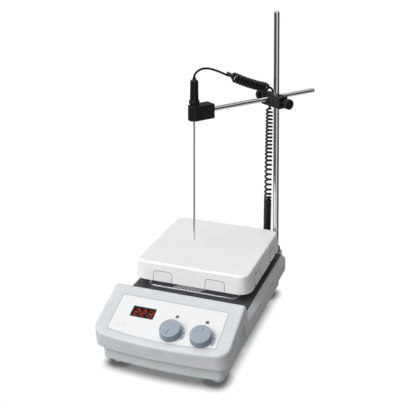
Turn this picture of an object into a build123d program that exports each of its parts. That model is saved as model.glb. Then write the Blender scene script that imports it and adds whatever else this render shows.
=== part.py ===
from build123d import *
import os
from math import cos, pi, radians, sin, sqrt, tan

# Hot plate magnetic stirrer with a temperature probe on a support rod.
# Millimetres, +Z up, +X to the operator's right, -Y towards the operator.
# Every piece is drawn with the bench at height 0 and the stirring axis at
# x = y = 0. save() then lowers it by PLATE_TOP, so the origin of the finished
# part lies at the centre of the work plate's top face.

# ---- housing ----
BODY_WIDTH = 215.0
FRONT = -237.0  # crown of the bowed front, at the foot of the sloping panel
REAR = 118.0
FRONT_BOW = 730.0  # radius of the bow in plan
FRONT_CORNER = 22.0
REAR_CORNER = 28.0
WALL = 3.0
SLOPE = 21.0  # the control panel's angle from level
SLOPE_Y = -146.3  # a point on the slope, near its upper edge
SLOPE_Z = 92.0
BACK_STEEPNESS = 2.21  # height over depth of the console's back face
BACK_Y = -141.4  # where the back face passes SLOPE_Z
SKIRT_BOTTOM = 36.5
SKIRT_LEAN = 4.0  # how far the front skirt leans back towards its lower edge
CHEEK_FRONT_Y = -209.0
NOTCH_Y = -152.5
NOTCH_Z = 70.0
BAND_FRONT_Y = -142.0
BAND_BOTTOM = 44.5
BAND_TOP = 61.5
SHOULDER_TOP = 68.0
SHOULDER_IN = 8.4  # how far the shoulder leans in between band and deck
CONSOLE_EDGE = 4.0

# ---- lower tub and feet ----
TUB_FLOOR = 13.0
TUB_TOP = 48.0
TUB_INSET = 9.3
TUB_TAPER = 2.7
TUB_GAP = 0.3
FOOT_X = 79.0
FOOT_Y = (-189.0, 84.0)
FOOT_R = 10.0
CASE_SCREW_X = 84.0
CASE_SCREW_Y = (-104.0, 56.0)
CASE_SCREW_R = 2.0
BOSS_R = 5.0

# ---- deck ----
DECK_TOP = 70.0
DECK_FRONT = -126.0
DRIVE_HOLE_R = 42.0

# ---- control panel: x across, l down the slope from SLOPE_Y ----
PANEL_HALF = 86.4
PANEL_TOP = 14.7
PANEL_SIDE_END = 79.8
PANEL_MID_END = 87.2
PANEL_THICK = 0.8
PANEL_GAP = 0.3
WINDOW_X = -42.0
WINDOW_L = 42.1
WINDOW_W = 37.6
WINDOW_H = 19.2
KNOB_X = (12.2, 59.7)
KNOB_L = 67.5
KNOB_H = 9.4
KNOB_R = 16.6
KNOB_FACE_R = 15.8
HEAT_POINTER = 191.0  # clockwise from straight up the slope
SPEED_POINTER = 9.0
LED_L = 38.6
BOARD_N = -12.0  # front face of the display board, measured along the slope's normal
BOARD_THICK = 1.6
SHAFT_R = 3.0
SHAFT_GAP = 0.04
BUSH_R = 4.5
POT_R = 8.5
DIGIT_W = 6.6
DIGIT_H = 10.8
DIGIT_PITCH = 11.0
SEGMENT = 1.05
SEGMENTS = {"2": "abged", "3": "abgcd"}

# ---- work plate ----
PLATE_TOP = 112.0
PLATE_THICK = 5.0
SKIRT_Z = 84.0
SKIRT_HALF = 98.5
SKIRT_CORNER = 22.0
TOP_HALF = 94.5
TOP_CORNER = 15.0
SKIRT_WALL = 2.5
PLATE_EDGE = 3.5
TAB_AT = (-47.5, 41.5)  # along each side, from its left end
TAB_W = 33.0
TAB_H = 16.0
TAB_SLIT = 0.8
POST_AT = 66.0
POST_R = 4.0
HEATER_R = 74.0
HEATER_BORE = 14.0
HEATER_T = 3.5
PAD_T = 10.0
HEATER_LEAD_X = (-8.0, 8.0)
HEATER_LEAD_Y = 84.0
PAN_HALF_X = 78.0
PAN_HALF_Y = 93.0
PAN_CORNER = 14.0
PAN_SHEET = 0.9
PAN_RIM = 3.6
PAN_FLARE = 2.6
RIBS = 8
RIB_PITCH = 6.0
RIB_MIDDLE = -6.0
RIB_TURN = -38.0

# ---- drive ----
MOTOR_R = 33.0
MOTOR_LOW = 26.0
MOTOR_HIGH = 62.0
MOTOR_SHAFT_R = 3.0
MAGNET_OUT = 26.0
MAGNET_R = 9.0
CARRIER_Z = 76.0
BRACKET_SCREW_AT = 48.0

# ---- electrics in the tub ----
MAIN_BOARD_Y = -142.0
MAIN_BOARD_Z = 24.0
BOARD_SCREW_X = 66.0
BOARD_SCREW_Y = (-196.0, -88.0)

# ---- rod, clamp, arm and probe ----
ROD_X = 87.2
ROD_Y = 103.0
ROD_R = 5.0
ROD_TOP = 501.0
ROD_FOOT = 52.0
ROD_BOSS_R = 11.0
ARM_Z = 345.0
ARM_HEADING = 234.9  # the arm's direction in plan, from +X
ARM_R = 4.0
ARM_OFF = -12.0  # the arm's axis beside the rod's
ARM_BACK = -99.0
ARM_FRONT = 150.0
SLIDE_GAP = 0.05
CLAMP_HALF = 9.5
CLAMP_LOW_Y = -31.5
CLAMP_HIGH_Y = 19.5
CLAMP_LOW_Z = -12.7
CLAMP_HIGH_Z = 8.0
ROD_SCREW_Z = -2.0
SCREW_R = 3.0
KNURL_R = 9.0
KNURL_T = 8.0
KNURL_COUNT = 14
HOLDER_BACK = 133.0
PROBE_AT = 167.5
HOLDER_R = 10.5
HOLDER_LOW = -13.0
HOLDER_HIGH = 12.0
SHEATH_R = 1.5
SHEATH_TIP = 128.0
HANDLE_R = 7.2
COLLAR_R = 8.9
LEAD_R = 1.9
COIL_R = 7.0
UPPER_COIL_R = 7.4

# ---- the probe's cable, in the arm's frame ----
# Up out of the handle, over in an arch, through a coil lying above the arm, down behind
# the clamp, then a long hanging coil that leans a little.
LEAD_START = (PROBE_AT, ARM_OFF, 59.1)
LEAD_MIDDLE = (133.0, ARM_OFF - 1, 70.5)
LEAD_END = (98.0, ARM_OFF - 2, 56.6)
LEAD_SLOPE = (-1, 0, -0.38)
UPPER_COIL_START = (94.0, ARM_OFF - 2, 55.0)
UPPER_COIL_END = (-2.5, -25.5, 15.5)
HANG_TOP = (-5.2, -25.2, -20.0)
HANG_BOTTOM = (-4.0, -29.4, -268.0)
HANG_SPLIT = 0.46  # where the hanging coil is divided, as a share of its length from the top

# ---- rear panel ----
REAR_FACE = REAR - TUB_INSET + 0.7
REAR_PAD_W = 150.0
REAR_PAD_T = 5.0
INLET_X = -58.0
SWITCH_X = -14.0
SOCKET_X = 62.0
REAR_Z = 29.0
ROCKER_TILT = 7.0

SLOPE_RAD = radians(SLOPE)


def save(name, shape):
    export_step(Pos(0, 0, -PLATE_TOP) * shape, f"parts/{name}.step")


def slope_z(y):
    return SLOPE_Z + (y - SLOPE_Y) * tan(SLOPE_RAD)


def back_z(y):
    return SLOPE_Z - (y - BACK_Y) * BACK_STEEPNESS


def back_y(z):
    return BACK_Y - (z - SLOPE_Z) / BACK_STEEPNESS


SLOPE_FOOT_Z = slope_z(FRONT)
RIDGE_Y = (SLOPE_Y * tan(SLOPE_RAD) + BACK_Y * BACK_STEEPNESS) / (tan(SLOPE_RAD) + BACK_STEEPNESS)
# On this plane local x runs across, local y up the slope and z out of the panel.
SLOPE_NORMAL = (0, -sin(SLOPE_RAD), cos(SLOPE_RAD))
PANEL_PLANE = Plane(origin=(0, SLOPE_Y, SLOPE_Z), x_dir=(1, 0, 0), z_dir=SLOPE_NORMAL)
# Local x runs along the arm towards the probe, local y away from the arm's side of the rod.
ARM_RAD = radians(ARM_HEADING)
ARM_PLANE = Plane(origin=(ROD_X, ROD_Y, ARM_Z), x_dir=(cos(ARM_RAD), sin(ARM_RAD), 0), z_dir=(0, 0, 1))


def on_panel(shape):
    return PANEL_PLANE.location * shape


def on_arm(shape):
    return ARM_PLANE.location * shape


def rod_between(start, end, radius):
    """A round bar from one point to another."""
    plane = Plane(origin=start, z_dir=Vector(*end) - Vector(*start))
    length = (Vector(*end) - Vector(*start)).length
    return extrude(plane * Circle(radius), length)


def tube_along(points, radius, start_dir, end_dir):
    """A round cable through the points, leaving and arriving in the given directions."""
    path = Spline(*points, tangents=(start_dir, end_dir))
    return sweep(Plane(origin=path @ 0, z_dir=path % 0) * Circle(radius), path=path)


def column(x, y, low, high, radius):
    return Pos(x, y, low) * extrude(Circle(radius), high - low)


def ring(radius, bore, low, high):
    return column(0, 0, low, high, radius) - column(0, 0, low - 1, high + 1, bore)


def rounded_block(width, depth, low, high, corner):
    return Pos(0, 0, low) * extrude(RectangleRounded(width, depth, corner), high - low)


# ---- housing ----


def plan(inset, lean):
    """The housing's outline in plan: flat sides and back, bowed front."""
    half = BODY_WIDTH / 2 - inset
    crown = FRONT + lean + inset
    side_front = crown + FRONT_BOW - sqrt(FRONT_BOW**2 - half**2)
    rear = REAR - inset
    outline = (
        ThreePointArc((-half, side_front), (0, crown), (half, side_front))
        + Line((half, side_front), (half, rear))
        + Line((half, rear), (-half, rear))
        + Line((-half, rear), (-half, side_front))
    )
    face = make_face(outline)
    face = fillet(face.vertices().group_by(Axis.Y)[0], FRONT_CORNER - inset)
    return fillet(face.vertices().group_by(Axis.Y)[-1], REAR_CORNER - inset)


def side_profile(inset):
    """Console and band seen from the side, drawn past the front and rear faces."""
    past = 20.0
    points = [
        (FRONT - past, SKIRT_BOTTOM),
        (CHEEK_FRONT_Y, SKIRT_BOTTOM),
        (NOTCH_Y, NOTCH_Z),
        (BAND_FRONT_Y, BAND_BOTTOM),
        (REAR + past, BAND_BOTTOM),
        (REAR + past, BAND_TOP),
        (back_y(BAND_TOP), BAND_TOP),
        (RIDGE_Y, slope_z(RIDGE_Y)),
        (FRONT - past, slope_z(FRONT - past)),
    ]
    face = make_face(Polyline(*points, close=True))
    if inset:
        face = offset(face, amount=-inset, kind=Kind.INTERSECTION)
    return extrude(Plane.YZ * face, BODY_WIDTH, both=True)


def shoulder(inset, drop):
    """The rear body above the band: its sides and back lean in up to the deck."""
    front = SLOPE_Y + WALL + drop

    def outline(more, height):
        half = BODY_WIDTH / 2 - inset - more
        rear = REAR - inset - more
        corners = [(-half, front), (half, front), (half, rear), (-half, rear)]
        face = make_face(Polyline(*corners, close=True))
        face = fillet(face.vertices().group_by(Axis.Y)[-1], REAR_CORNER - inset - more)
        return Pos(0, 0, height - drop) * face

    return loft([outline(0, BAND_TOP), outline(SHOULDER_IN, SHOULDER_TOP)], ruled=True)


def body_block(inset):
    """Console and band: one tall loft whose front leans, trimmed by the side profile."""
    top = SLOPE_Z + 10
    lean = -SKIRT_LEAN * (top - SLOPE_FOOT_Z) / (SLOPE_FOOT_Z - SKIRT_BOTTOM)
    outlines = [Pos(0, 0, SKIRT_BOTTOM) * plan(inset, SKIRT_LEAN), Pos(0, 0, top) * plan(inset, lean)]
    return loft(outlines, ruled=True) & side_profile(inset)


def soft_console(block):
    """Rounds the edges round the sloping face and down the console's back."""
    slope_normal = PANEL_PLANE.z_dir
    slope_face = [f for f in block.faces() if f.normal_at().dot(slope_normal) > 0.999][0]
    edges = list(slope_face.edges())
    ridge_z = slope_z(RIDGE_Y)
    for edge in block.edges():
        box = edge.bounding_box()
        up_back = box.max.Z > ridge_z - 0.1 and box.min.Z < BAND_TOP + 0.1 and box.min.Y > NOTCH_Y
        if up_back:
            edges.append(edge)
    return fillet(edges, CONSOLE_EDGE)


def tub_passage():
    """The room that the lower tub's walls need inside the housing."""
    inset = TUB_INSET - TUB_GAP
    low = SKIRT_BOTTOM - 5
    straight = Pos(0, 0, low) * extrude(plan(inset, SKIRT_LEAN), TUB_TOP + 2 - low)
    points = [
        (CHEEK_FRONT_Y, low),
        (CHEEK_FRONT_Y, TUB_TOP + 10),
        (NOTCH_Y + 2, NOTCH_Z + 3),
        (BAND_FRONT_Y + 5, NOTCH_Z + 3),
        (BAND_FRONT_Y + 5, low),
    ]
    ear_side = extrude(Plane.YZ * make_face(Polyline(*points, close=True)), BODY_WIDTH, both=True)
    ears = (Pos(0, 0, low) * extrude(plan(inset, SKIRT_LEAN), NOTCH_Z + 10 - low)) & ear_side
    return straight + ears


def panel_outline(grow):
    """The overlay panel's outline on the slope, its lower edge bowed."""
    half = PANEL_HALF + grow
    top = grow - PANEL_TOP
    side = -PANEL_SIDE_END - grow
    face = make_face(
        Line((-half, top), (half, top))
        + Line((half, top), (half, side))
        + ThreePointArc((half, side), (0, -PANEL_MID_END - grow), (-half, side))
        + Line((-half, side), (-half, top))
    )
    return fillet(face.vertices(), 2.5 + grow)


def board_posts():
    return [(x, -l) for x in (-80.0, 80.0) for l in (20.0, 74.0)]


def panel_holes(window_grow, knob_r, led_grow, depth):
    """The holes that the window, the knob bushes and the two lamps pass through."""
    low = Plane.XY.offset(-depth)
    window = Pos(WINDOW_X, -WINDOW_L) * Rectangle(WINDOW_W + window_grow, WINDOW_H + window_grow)
    holes = extrude(low * window, depth + 2)
    for x in KNOB_X:
        holes += extrude(low * Pos(x, -KNOB_L) * Circle(knob_r), depth + 2)
        holes += extrude(low * Pos(x, -LED_L) * Ellipse(2.2 + led_grow, 1.6 + led_grow), depth + 2)
    return holes


def upper_housing():
    outer = soft_console(body_block(0)) + shoulder(0, 0)
    inner = body_block(WALL) + shoulder(WALL, WALL)
    shell = outer - inner - tub_passage()
    shell -= on_panel(extrude(Plane.XY.offset(-PANEL_THICK) * panel_outline(PANEL_GAP), 10))
    shell -= on_panel(panel_holes(-3.0, BUSH_R + 0.2, 0.3, WALL + 2))
    posts = Part()
    for x, y in board_posts():
        posts += Pos(x, y, BOARD_N) * extrude(Circle(3.5), -BOARD_N - WALL + 0.5)
    shell += on_panel(posts)
    drill = Part()
    for x, y in board_posts():
        drill += Pos(x, y, BOARD_N - 1) * extrude(Circle(1.3), 8)
    shell -= on_panel(drill)
    for x in (-CASE_SCREW_X, CASE_SCREW_X):
        for y in CASE_SCREW_Y:
            shell += column(x, y, TUB_TOP, SHOULDER_TOP - WALL + 0.5, BOSS_R)
            shell -= column(x, y, TUB_TOP - 1, SHOULDER_TOP - WALL - 2, CASE_SCREW_R + 0.05)
    boss_low = column(ROD_X, ROD_Y, BAND_BOTTOM + 4, BAND_TOP, ROD_BOSS_R) & body_block(0)
    shell += boss_low + column(ROD_X, ROD_Y, BAND_TOP - 1, DECK_TOP + 1.5, ROD_BOSS_R)
    shell -= column(ROD_X, ROD_Y, ROD_FOOT - 0.5, DECK_TOP + 5, ROD_R + SLIDE_GAP)
    shell -= column(0, 0, SHOULDER_TOP - WALL - 1, SHOULDER_TOP + 5, DRIVE_HOLE_R)
    for x, y in deck_holes():
        shell -= column(x, y, SHOULDER_TOP - WALL - 1, SHOULDER_TOP + 5, 2.1)
    for x in HEATER_LEAD_X:
        shell -= column(x, HEATER_LEAD_Y, SHOULDER_TOP - WALL - 1, SHOULDER_TOP + 5, 2.5)
    return shell


def deck_holes():
    """The four posts' screws and the four motor bracket screws."""
    posts = [(x, y) for x in (-POST_AT, POST_AT) for y in (-POST_AT, POST_AT)]
    turns = [pi / 4 + i * pi / 2 for i in range(4)]
    bracket = [(BRACKET_SCREW_AT * cos(turn), BRACKET_SCREW_AT * sin(turn)) for turn in turns]
    return posts + bracket


def deck_plate():
    """The dark sheet that covers the rear body under the work plate."""
    inset = SHOULDER_IN + 0.1
    half = BODY_WIDTH / 2 - inset
    rear = REAR - inset
    corners = [(-half, DECK_FRONT), (half, DECK_FRONT), (half, rear), (-half, rear)]
    face = make_face(Polyline(*corners, close=True))
    face = fillet(face.vertices().group_by(Axis.Y)[-1], REAR_CORNER - inset)
    sheet = Pos(0, 0, SHOULDER_TOP) * extrude(face, DECK_TOP - SHOULDER_TOP)
    top_edges = sheet.edges().filter_by(lambda e: e.bounding_box().min.Z > DECK_TOP - 0.1)
    sheet = fillet(top_edges, 1.6)
    sheet -= column(0, 0, SHOULDER_TOP - 1, DECK_TOP + 1, DRIVE_HOLE_R)
    sheet -= column(ROD_X, ROD_Y, SHOULDER_TOP - 1, DECK_TOP + 1, ROD_BOSS_R + 0.1)
    for x, y in deck_holes():
        sheet -= column(x, y, SHOULDER_TOP - 1, DECK_TOP + 1, 2.1)
    for x in HEATER_LEAD_X:
        sheet -= column(x, HEATER_LEAD_Y, SHOULDER_TOP - 1, DECK_TOP + 1, 2.5)
    return sheet


def lower_tub():
    bottom = Pos(0, 0, TUB_FLOOR) * plan(TUB_INSET + TUB_TAPER, SKIRT_LEAN)
    rim = Pos(0, 0, TUB_TOP) * plan(TUB_INSET, SKIRT_LEAN)
    outer = loft([bottom, rim], ruled=True)
    outer = fillet(outer.edges().group_by(Axis.Z)[0], 3.5)
    cavity_low = Pos(0, 0, TUB_FLOOR + WALL) * plan(TUB_INSET + TUB_TAPER + WALL, SKIRT_LEAN)
    cavity_high = Pos(0, 0, TUB_TOP + 1) * plan(TUB_INSET + WALL, SKIRT_LEAN)
    tub = outer - loft([cavity_low, cavity_high], ruled=True)
    points = [
        (CHEEK_FRONT_Y + 6, TUB_TOP),
        (CHEEK_FRONT_Y + 6, TUB_TOP + 7),
        (NOTCH_Y, NOTCH_Z + 1.5),
        (BAND_FRONT_Y + 3, NOTCH_Z + 1.5),
        (BAND_FRONT_Y + 3, TUB_TOP),
    ]
    ear_side = extrude(Plane.YZ * make_face(Polyline(*points, close=True)), BODY_WIDTH, both=True)
    wall_ring = plan(TUB_INSET, SKIRT_LEAN) - plan(TUB_INSET + WALL, SKIRT_LEAN)
    tub += (Pos(0, 0, TUB_TOP - 1) * extrude(wall_ring, NOTCH_Z + 5 - TUB_TOP)) & ear_side
    for x in (-CASE_SCREW_X, CASE_SCREW_X):
        for y in CASE_SCREW_Y:
            tub += column(x, y, TUB_FLOOR + 1, TUB_TOP - 0.2, BOSS_R)
            tub -= column(x, y, TUB_FLOOR - 1, TUB_TOP + 1, CASE_SCREW_R + 0.3)
            tub -= column(x, y, TUB_FLOOR - 1, TUB_FLOOR + 8, 4.0)
    for x in (-FOOT_X, FOOT_X):
        for y in FOOT_Y:
            tub -= column(x, y, TUB_FLOOR - 1, TUB_FLOOR + WALL + 1, 4.1)
    for x, y in board_bosses():
        tub += column(x, y, TUB_FLOOR + 1, MAIN_BOARD_Z, 3.5)
        tub -= column(x, y, TUB_FLOOR + WALL + 1, MAIN_BOARD_Z + 1, 1.3)
    pad_low = TUB_FLOOR + 2
    pad_high = BAND_BOTTOM - 0.5
    pad_middle = (pad_low + pad_high) / 2
    tub += Pos(0, REAR_FACE - REAR_PAD_T / 2, pad_middle) * Box(REAR_PAD_W, REAR_PAD_T, pad_high - pad_low)
    rear_cut = 4 * REAR_PAD_T
    tub -= Pos(INLET_X, REAR_FACE, REAR_Z) * Box(28.4, rear_cut, 22.4)
    tub -= Pos(SWITCH_X, REAR_FACE, REAR_Z) * Box(13.4, rear_cut, 19.4)
    tub -= Pos(SOCKET_X, REAR_FACE, REAR_Z) * Rot(90, 0, 0) * Cylinder(6.2, rear_cut)
    for i in range(9):
        for side in (-1, 1):
            tub -= Pos(side * 50, -40 + i * 9, TUB_FLOOR + 1) * Box(46, 3, 8)
    return tub


def board_bosses():
    return [(x, y) for x in (-BOARD_SCREW_X, BOARD_SCREW_X) for y in BOARD_SCREW_Y]


def feet():
    group = Part()
    for x in (-FOOT_X, FOOT_X):
        for y in FOOT_Y:
            pad = column(x, y, 0, TUB_FLOOR, FOOT_R)
            pad = fillet(pad.edges().group_by(Axis.Z)[0], 2.0)
            group += pad + column(x, y, TUB_FLOOR - 0.5, TUB_FLOOR + WALL + 1.5, 4.0)
    return group


def case_screws():
    group = Part()
    for x in (-CASE_SCREW_X, CASE_SCREW_X):
        for y in CASE_SCREW_Y:
            head = column(x, y, TUB_FLOOR + 5.5, TUB_FLOOR + 8, 3.6)
            slot = Pos(x, y, TUB_FLOOR + 5.5) * Box(1, 5, 1.6) + Pos(x, y, TUB_FLOOR + 5.5) * Box(5, 1, 1.6)
            group += head + column(x, y, TUB_FLOOR + 7, SHOULDER_TOP - WALL - 4, CASE_SCREW_R) - slot
    return group


# ---- control panel ----


def overlay_panel():
    sheet = extrude(Plane.XY.offset(-PANEL_THICK) * panel_outline(0), PANEL_THICK)
    return on_panel(sheet - panel_holes(0.3, BUSH_R + 0.3, 0.15, 3))


def display_window():
    pane = Box(WINDOW_W, WINDOW_H, 1.4, align=(Align.CENTER, Align.CENTER, Align.MAX))
    pane -= Pos(0, 0, -PANEL_THICK) * frame_step()
    return on_panel(Pos(WINDOW_X, -WINDOW_L, 0.1) * pane)


def frame_step():
    """What is cut from the window's rim so that it drops into the smaller hole in the housing."""
    low = Align.MAX
    outer = Box(WINDOW_W + 2, WINDOW_H + 2, 3, align=(Align.CENTER, Align.CENTER, low))
    inner = Box(WINDOW_W - 3.4, WINDOW_H - 3.4, 3, align=(Align.CENTER, Align.CENTER, low))
    return outer - inner


def display_module():
    top = -1.6
    deep = top - BOARD_N
    block = Box(WINDOW_W - 4, WINDOW_H - 4, deep, align=(Align.CENTER, Align.CENTER, Align.MAX))
    return on_panel(Pos(WINDOW_X, -WINDOW_L, top) * block)


def digit(text):
    """One figure of seven bars, leaning a little."""
    arm = DIGIT_H / 2
    spots = {
        "a": (0, arm, 0),
        "g": (0, 0, 0),
        "d": (0, -arm, 0),
        "b": (DIGIT_W / 2, arm / 2, 90),
        "c": (DIGIT_W / 2, -arm / 2, 90),
        "e": (-DIGIT_W / 2, -arm / 2, 90),
    }
    bars = Part()
    for name in SEGMENTS[text]:
        x, y, turn = spots[name]
        long = DIGIT_W - SEGMENT * 0.6 if turn == 0 else arm - SEGMENT * 0.6
        bar = extrude(RectangleRounded(long, SEGMENT, SEGMENT * 0.4), 0.2)
        bars += Pos(x + y * 0.12, y) * Rot(0, 0, turn - (7 if turn else 0)) * bar
    return bars


def display_digits():
    group = Part()
    for i, text in enumerate("223"):
        group += Pos(WINDOW_X + (i - 1) * DIGIT_PITCH, -WINDOW_L, -1.55) * digit(text)
    return on_panel(group)


def indicator_lenses():
    group = Part()
    for x in KNOB_X:
        group += Pos(x, -LED_L, -PANEL_THICK - 1.5) * extrude(Ellipse(2.2, 1.6), PANEL_THICK + 1.6)
    return on_panel(group)


def display_board():
    low = BOARD_N - BOARD_THICK
    board = Pos(0, -46.5, low) * extrude(RectangleRounded(170, 64, 3), BOARD_THICK)
    for x, y in board_posts():
        board -= Pos(x, y, low - 1) * extrude(Circle(1.6), 4)
    return on_panel(board)


def board_screws():
    group = Part()
    for x, y in board_posts():
        group += Pos(x, y, BOARD_N - BOARD_THICK - 2.1) * extrude(Circle(2.8), 2)
        group += Pos(x, y, BOARD_N - BOARD_THICK - 1) * extrude(Circle(1.25), 7)
    main = Part()
    for x, y in board_bosses():
        main += column(x, y, MAIN_BOARD_Z + BOARD_THICK + 0.1, MAIN_BOARD_Z + BOARD_THICK + 2.1, 2.8)
        main += column(x, y, MAIN_BOARD_Z - 5, MAIN_BOARD_Z + BOARD_THICK + 1, 1.25)
    return on_panel(group) + main


def potentiometers():
    group = Part()
    for x in KNOB_X:
        body = Pos(x, -KNOB_L, BOARD_N) * extrude(Circle(POT_R), -BOARD_N - WALL - 0.1)
        bush = Pos(x, -KNOB_L, -WALL - 2) * extrude(Circle(BUSH_R), WALL + 4.5)
        bore = Pos(x, -KNOB_L, BOARD_N + 1) * extrude(Circle(SHAFT_R + SHAFT_GAP), 20)
        group += body + bush - bore
    return on_panel(group)


def bush_nuts():
    group = Part()
    for x in KNOB_X:
        nut = extrude(RegularPolygon(6.2, 6), 2.0) - extrude(Circle(BUSH_R + 0.02), 2.0)
        group += Pos(x, -KNOB_L, 0.05) * nut
    return on_panel(group)


def knob_cap(turn):
    """A hollow knob with a hub on its shaft and a groove for the pointer."""
    low = 0.6
    base = Pos(0, 0, low) * Circle(KNOB_R)
    face = Pos(0, 0, low + KNOB_H) * Circle(KNOB_FACE_R)
    cap = loft([base, face])
    cap = fillet(cap.edges().group_by(Axis.Z)[-1], 1.2)
    cap -= Pos(0, 0, low - 1) * extrude(Circle(KNOB_FACE_R - 2), KNOB_H - 1.2)
    cap += Pos(0, 0, 3.2) * extrude(Circle(6), KNOB_H + low - 4)
    cap -= Pos(0, 0, 3.0) * extrude(Circle(SHAFT_R + 0.01), 5.5)
    cap -= Rot(0, 0, -turn) * pointer_bar(0.1)
    return cap


def pointer_bar(grow):
    top = 0.6 + KNOB_H
    bar = extrude(RectangleRounded(1.0 + grow, 10.0 + grow, 0.45 + grow / 2), 0.5 + grow)
    return Pos(0, 8.0, top - 0.45 - grow) * bar


def knob_pieces(name, x, turn):
    spot = Pos(x, -KNOB_L, 0)
    save(f"{name}_knob", on_panel(spot * knob_cap(turn)))
    save(f"{name}_pointer", on_panel(spot * Rot(0, 0, -turn) * pointer_bar(0)))
    shaft = Pos(0, 0, BOARD_N + 1.5) * extrude(Circle(SHAFT_R), 7.9 - BOARD_N - 1.5)
    save(f"{name}_shaft", on_panel(spot * shaft))


# ---- work plate and what hangs under it ----


def square(half, corner, height):
    return Pos(0, 0, height) * RectangleRounded(2 * half, 2 * half, corner)


def plate_skin():
    """The plate's outer form: flared skirt and soft upper edge."""
    low = square(SKIRT_HALF, SKIRT_CORNER, SKIRT_Z)
    skin = loft([low, square(TOP_HALF, TOP_CORNER, PLATE_TOP)], ruled=True)
    return fillet(skin.edges().group_by(Axis.Z)[-1], PLATE_EDGE)


def skirt_cavity():
    low = square(SKIRT_HALF - SKIRT_WALL, SKIRT_CORNER - SKIRT_WALL, SKIRT_Z)
    high = square(TOP_HALF - SKIRT_WALL, TOP_CORNER - SKIRT_WALL, PLATE_TOP - PLATE_THICK)
    return loft([low, high], ruled=True)


def tab_shapes(shrink):
    """Upright prisms over the eight tabs, two on each side of the skirt."""
    width = TAB_W - 2 * shrink
    high = SKIRT_Z + TAB_H - shrink
    face = make_face(
        Line((-width / 2, SKIRT_Z - 1), (width / 2, SKIRT_Z - 1))
        + Line((width / 2, SKIRT_Z - 1), (width / 2, high))
        + Line((width / 2, high), (-width / 2, high))
        + Line((-width / 2, high), (-width / 2, SKIRT_Z - 1))
    )
    face = fillet(face.vertices().group_by(Axis.Y)[-1], 5.0 - shrink)
    prism = extrude(Plane.XZ * face, 20)
    group = Part()
    for side in range(4):
        for at in TAB_AT:
            group += Rot(0, 0, 90 * side) * Pos(at, -SKIRT_HALF + 12, 0) * prism
    return group


def work_plate():
    plate = plate_skin() - skirt_cavity() - tab_shapes(0)
    for x in (-POST_AT, POST_AT):
        for y in (-POST_AT, POST_AT):
            plate += column(x, y, PLATE_TOP - PLATE_THICK - 6, PLATE_TOP - PLATE_THICK + 1, 6.0)
            plate -= column(x, y, PLATE_TOP - PLATE_THICK - 7, PLATE_TOP - PLATE_THICK, 2.05)
    return plate


def skirt_tabs():
    """The tabs fill their notches in the skirt but for a slit."""
    return (plate_skin() - skirt_cavity()) & tab_shapes(TAB_SLIT)


def plate_posts():
    """Posts from the deck to the plate's bosses."""
    group = Part()
    for x in (-POST_AT, POST_AT):
        for y in (-POST_AT, POST_AT):
            post = column(x, y, DECK_TOP, PLATE_TOP - PLATE_THICK - 6, POST_R)
            group += post - column(x, y, DECK_TOP - 1, PLATE_TOP, 2.05)
    return group


def post_screws():
    group = Part()
    for x in (-POST_AT, POST_AT):
        for y in (-POST_AT, POST_AT):
            head_top = SHOULDER_TOP - WALL
            group += column(x, y, head_top - 2.5, head_top, 3.6)
            group += column(x, y, head_top - 1, PLATE_TOP - PLATE_THICK - 0.5, 2.0)
    return group


def heating_element():
    low = PLATE_TOP - PLATE_THICK - HEATER_T
    disc = ring(HEATER_R, HEATER_BORE, low, PLATE_TOP - PLATE_THICK)
    for i in range(1, 5):
        middle = HEATER_BORE + i * 12
        disc -= ring(middle + 1.5, middle - 1.5, low - 1, low + 1.2)
    for x in HEATER_LEAD_X:
        disc += Pos(x, HEATER_R + 3, low + 1.5) * Box(5, 14, 1.5)
    return disc


def insulation_pad():
    high = PLATE_TOP - PLATE_THICK - HEATER_T
    low = high - PAD_T
    pad = column(0, 0, low, high, HEATER_R + 1)
    return pad - column(0, 0, low - 1, PLATE_TOP, 5.0)


def insulation_cover():
    """A spun dish that holds the pad and the heater up against the plate."""
    low = PLATE_TOP - PLATE_THICK - HEATER_T - PAD_T - 1
    dish = ring(HEATER_R + 2.2, HEATER_R + 1.2, low, PLATE_TOP - PLATE_THICK - 4.5)
    dish += column(0, 0, low, low + 1, HEATER_R + 2.2)
    return dish - column(0, 0, low - 1, low + 2, 5.0)


def plate_sensor():
    low = PLATE_TOP - PLATE_THICK - HEATER_T - PAD_T - 2
    return column(0, 0, low, PLATE_TOP - PLATE_THICK - 0.1, 3.0)


def heat_shield_pan():
    """A shallow bright tray on the deck, its rim turned up and out, ribbed at the front."""
    low = DECK_TOP + 0.05
    rim_top = low + PAN_RIM
    floor = low + PAN_SHEET

    def outline(inset, height):
        width = 2 * (PAN_HALF_X - inset)
        depth = 2 * (PAN_HALF_Y - inset)
        return Pos(0, 0, height) * RectangleRounded(width, depth, PAN_CORNER - inset)

    outer = loft([outline(PAN_FLARE, low), outline(0, rim_top)], ruled=True)
    hollow = loft([outline(PAN_FLARE + PAN_SHEET, floor), outline(PAN_SHEET, rim_top + 0.01)], ruled=True)
    pan = outer - hollow
    rib = extrude(RectangleRounded(2.6, 20, 1.2), 1.2)
    for i in range(RIBS):
        spot = Pos(RIB_MIDDLE + (i - (RIBS - 1) / 2) * RIB_PITCH, -PAN_HALF_Y + 15, floor - 0.3)
        pan += spot * Rot(0, 0, RIB_TURN) * rib
    pan -= column(0, 0, low - 1, low + 5, DRIVE_HOLE_R)
    pan -= column(ROD_X, ROD_Y, low - 1, low + 8, ROD_BOSS_R + 1.5)
    for x in (-POST_AT, POST_AT):
        for y in (-POST_AT, POST_AT):
            pan -= column(x, y, low - 1, low + 5, POST_R + 0.3)
    for x in HEATER_LEAD_X:
        pan -= column(x, HEATER_LEAD_Y, low - 1, low + 5, 2.5)
    return pan


# ---- drive ----


def motor_bracket():
    high = SHOULDER_TOP - WALL
    plate = ring(54, 20, high - 2.5, high)
    for x, y in deck_holes()[4:]:
        plate -= column(x, y, high - 4, high + 1, 2.1)
    return plate


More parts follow.
